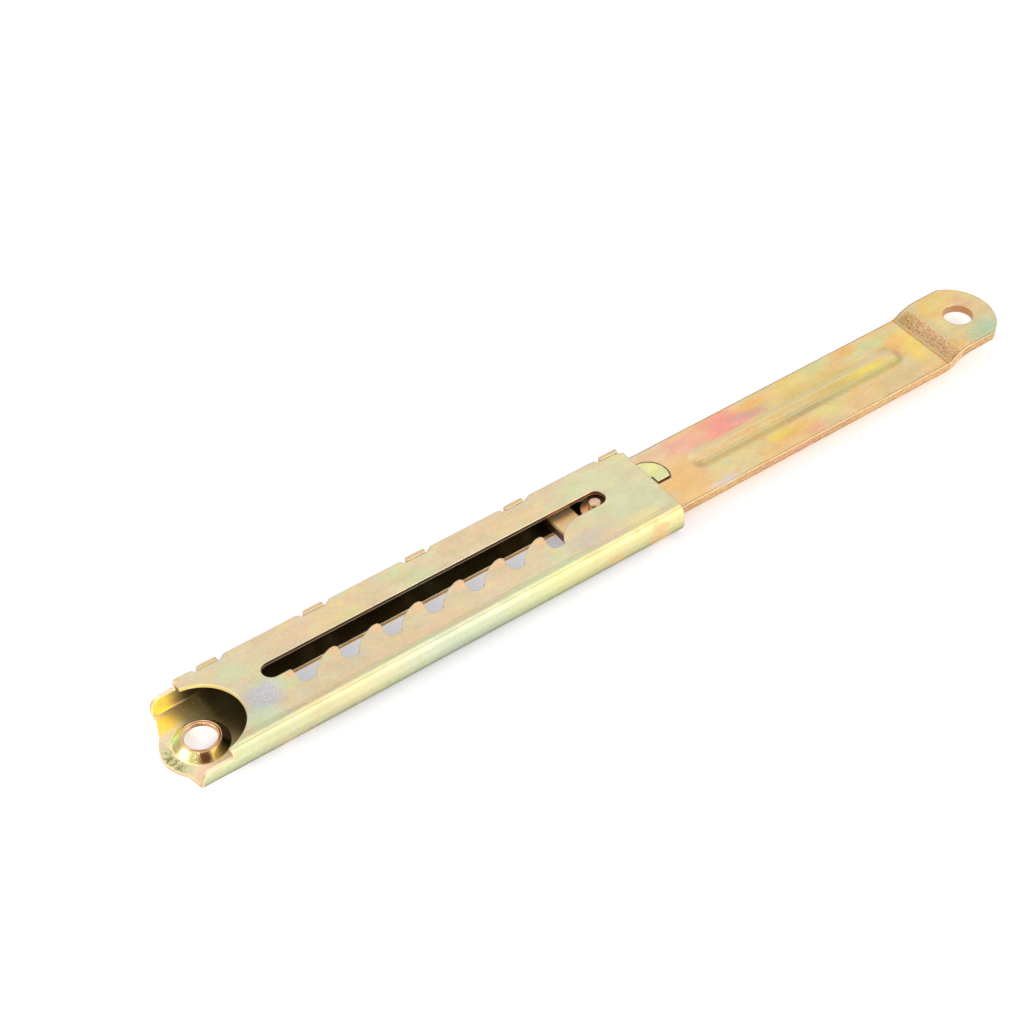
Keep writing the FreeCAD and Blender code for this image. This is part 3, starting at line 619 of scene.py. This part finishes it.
def capped_turned(name, profile, centre, sides):
    """A solid turned piece whose profile starts and ends on the axis."""
    rings = profile[1:-1]
    verts, faces = [], []
    for side in range(sides):
        angle = 2 * math.pi * side / sides
        for radius, height in rings:
            verts.append(on_circle(centre, angle, radius, height))
    low = len(verts)
    high = low + 1
    verts.append((centre[0] * MM, centre[1] * MM, profile[0][1] * MM))
    verts.append((centre[0] * MM, centre[1] * MM, profile[-1][1] * MM))
    count = len(rings)
    for side in range(sides):
        here, there = side * count, (side + 1) % sides * count
        faces.append((low, there, here))
        for index in range(count - 1):
            faces.append((here + index, there + index, there + index + 1, here + index + 1))
        faces.append((here + count - 1, there + count - 1, high))
    return add_mesh(name, verts, faces, smooth=True)


PIN_SIDES = 64
RIM_SIDES = 96


def box_mm(node):
    """A node's lowest and highest corners in millimetres."""
    low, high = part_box(node)
    return [c / MM for c in low], [c / MM for c in high]


def make_pin():
    """The pin, with a chamfered foot and a dished, rounded top."""
    low, high = box_mm("ratchet_pin")
    centre = ((low[0] + high[0]) / 2, (low[1] + high[1]) / 2)
    radius = (high[0] - low[0]) / 2
    foot, top = low[2], high[2]
    profile = [(0, foot), (radius - 0.34, foot), (radius - 0.12, foot + 0.07), (radius, foot + 0.3),
               (radius, foot + 1.4), (radius, top - 1.2), (radius, top - 0.3), (radius - 0.06, top - 0.12),
               (radius - 0.2, top), (radius - 0.38, top - 0.01), (radius - 0.52, top - 0.1),
               (radius - 0.75, top - 0.13), (0.45, top - 0.1), (0.2, top - 0.16), (0, top - 0.17)]
    pin = capped_turned("ratchet_pin_turned", profile, centre, PIN_SIDES)
    pin.data.materials.append(pin_steel)
    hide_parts("ratchet_pin")
    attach(pin, "pawl")


def make_rim():
    """The rolled, slightly torn lip on top of the drawn eyelet."""
    bore, rim, top = BORE_RADIUS, 5.2, 3.2
    draws = random.Random(5)
    raw = [draws.uniform(-0.05, 0.07) for _ in range(RIM_SIDES)]
    tears = [(raw[i - 1] + raw[i] + raw[(i + 1) % RIM_SIDES]) / 3 for i in range(RIM_SIDES)]
    profile = [(bore + 0.02, top - 0.5), (rim - 0.02, top - 0.12), (rim + 0.03, top + 0.05),
               (rim - 0.06, top + 0.17), (rim - 0.16, top + 0.19), (rim - 0.26, top + 0.12),
               (rim - 0.36, top - 0.08), (rim - 0.46, top - 0.1), (rim - 0.58, top + 0.1),
               (rim - 0.74, top + 0.15), (bore + 0.06, top + 0.06), (bore + 0.01, top - 0.1)]
    # The places in the profile that lie on the bore's side, where the lip is torn
    torn = {0, 9, 10, 11}

    def jitter(side, index):
        return tears[side] if index in torn else 0.0

    ring = turned("eyelet_rim", profile, EYELET, RIM_SIDES, jitter)
    ring.data.materials.append(rim_copper)
    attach(ring, "casing")


def make_spring():
    """The bowed strip beside the window's edge, drawn in one bowed shape; the real one flattens as the pawl
    swings back.
    """
    low, high = box_mm("pawl_spring")
    middle = (low[0] + high[0]) / 2
    half = (high[0] - low[0]) / 2
    thickness = 0.4
    end_gap = 0.12
    # The ends reach a tenth of the thickness past the box, and stay clear of the window's edge
    rise = high[1] - low[1] - thickness * 0.9
    steps = 40
    verts, faces = [], []
    for step in range(steps + 1):
        share = 2 * step / steps - 1
        x = middle + share * (half - end_gap)
        belly = low[1] + rise * share ** 2
        back = belly + thickness
        for across, up in ((belly, low[2]), (belly, high[2]), (back, high[2]), (back, low[2])):
            verts.append((x * MM, across * MM, up * MM))
    for step in range(steps):
        here = step * 4
        for side in range(4):
            after = (side + 1) % 4
            faces.append((here + side, here + side + 4, here + after + 4, here + after))
    faces.append((0, 1, 2, 3))
    faces.append((steps * 4 + 3, steps * 4 + 2, steps * 4 + 1, steps * 4))
    spring = add_mesh("pawl_spring_strip", verts, faces, smooth=False)
    spring.data.materials.append(spring_steel)
    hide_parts("pawl_spring")
    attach(spring, "arm")
    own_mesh(spring)


make_pin()
make_rim()
make_spring()

# ---- floor, light and camera ---------------------------------------------------------------------

# Where the lights look, in metres: near the middle of the stay, and at the casing's heel
MIDDLE = Vector((0.12, 0, 0))
HEEL = Vector((-0.006, 0.008, 0.003))
# Name, direction from the target, distance and size in metres, and power in watts
SOFTBOXES = [
    ("key", (0.41, -0.74, 0.50), 0.9, (0.6, 0.75), 2.9),
    ("overhead", (0.41, -0.34, 0.84), 0.9, (0.5, 0.4), 1.1),
    ("fill", (-0.815, 0.25, 0.526), 0.9, (0.4, 0.4), 1.6),
    ("back", (0.41, 0.62, 0.70), 1.0, (1.0, 0.6), 1.3),
]


def add_floor():
    """A pale, faintly glowing floor just under the stay, in metres."""
    reach = 14.0
    gap = 0.00005
    low = CAD_BOX[0][2] - gap
    corners = [(-reach, -reach, low), (reach, -reach, low), (reach, reach, low), (-reach, reach, low)]
    floor = add_mesh("floor", corners, [(0, 1, 2, 3)], smooth=False)
    material = bpy.data.materials.new("floor")
    material.use_nodes = True
    surface = material.node_tree.nodes["Principled BSDF"]
    surface.inputs["Base Color"].default_value = (0.86, 0.86, 0.87, 1)
    surface.inputs["Roughness"].default_value = 0.9
    surface.inputs["Specular IOR Level"].default_value = 0.1
    surface.inputs["Emission Color"].default_value = (0.96, 0.95, 1.0, 1)
    surface.inputs["Emission Strength"].default_value = 0.34
    floor.data.materials.append(material)


def add_softbox(name, direction, distance, size, power, target=MIDDLE, spread_deg=180):
    """A rectangular light that looks at the target from a direction. Metres and watts."""
    light = bpy.data.lights.new(name, "AREA")
    light.shape = "RECTANGLE"
    light.size = size[0]
    light.size_y = size[1]
    light.energy = power
    light.spread = math.radians(spread_deg)
    lamp = bpy.data.objects.new(name, light)
    towards = Vector(direction).normalized()
    lamp.visible_camera = False
    lamp.location = target + towards * distance
    lamp.rotation_euler = (-towards).to_track_quat("-Z", "Y").to_euler()
    bpy.context.scene.collection.objects.link(lamp)


def add_camera():
    """The rest camera, in metres: it looks down from the heel's side, rolled a little."""
    place = (-0.16516, -0.37198, 0.46853)
    azimuth = math.radians(-34.869)
    elevation = math.radians(44.429)
    roll = math.radians(-1.515)
    forward = Vector((-math.sin(azimuth) * math.cos(elevation), math.cos(azimuth) * math.cos(elevation),
                      -math.sin(elevation)))
    data = bpy.data.cameras.new("camera")
    data.lens = 88.3
    data.sensor_width = 36.0
    data.clip_start = 0.01
    camera = bpy.data.objects.new("camera", data)
    upright = forward.to_track_quat("-Z", "Y").to_matrix().to_4x4()
    camera.matrix_world = Matrix.Translation(place) @ upright @ Matrix.Rotation(roll, 4, "Z")
    bpy.context.scene.collection.objects.link(camera)
    bpy.context.scene.camera = camera


def light_world():
    world = bpy.data.worlds.new("studio")
    bpy.context.scene.world = world
    world.use_nodes = True
    background = world.node_tree.nodes["Background"]
    background.inputs["Color"].default_value = (1, 1, 1, 1)
    background.inputs["Strength"].default_value = 0.5


add_floor()
light_world()
for softbox in SOFTBOXES:
    add_softbox(*softbox)
add_softbox("heel", (-0.6, -0.6, 0.5), 0.2, (0.04, 0.04), 0.0042, target=HEEL, spread_deg=16)
add_camera()
bpy.context.scene.view_settings.view_transform = "Standard"
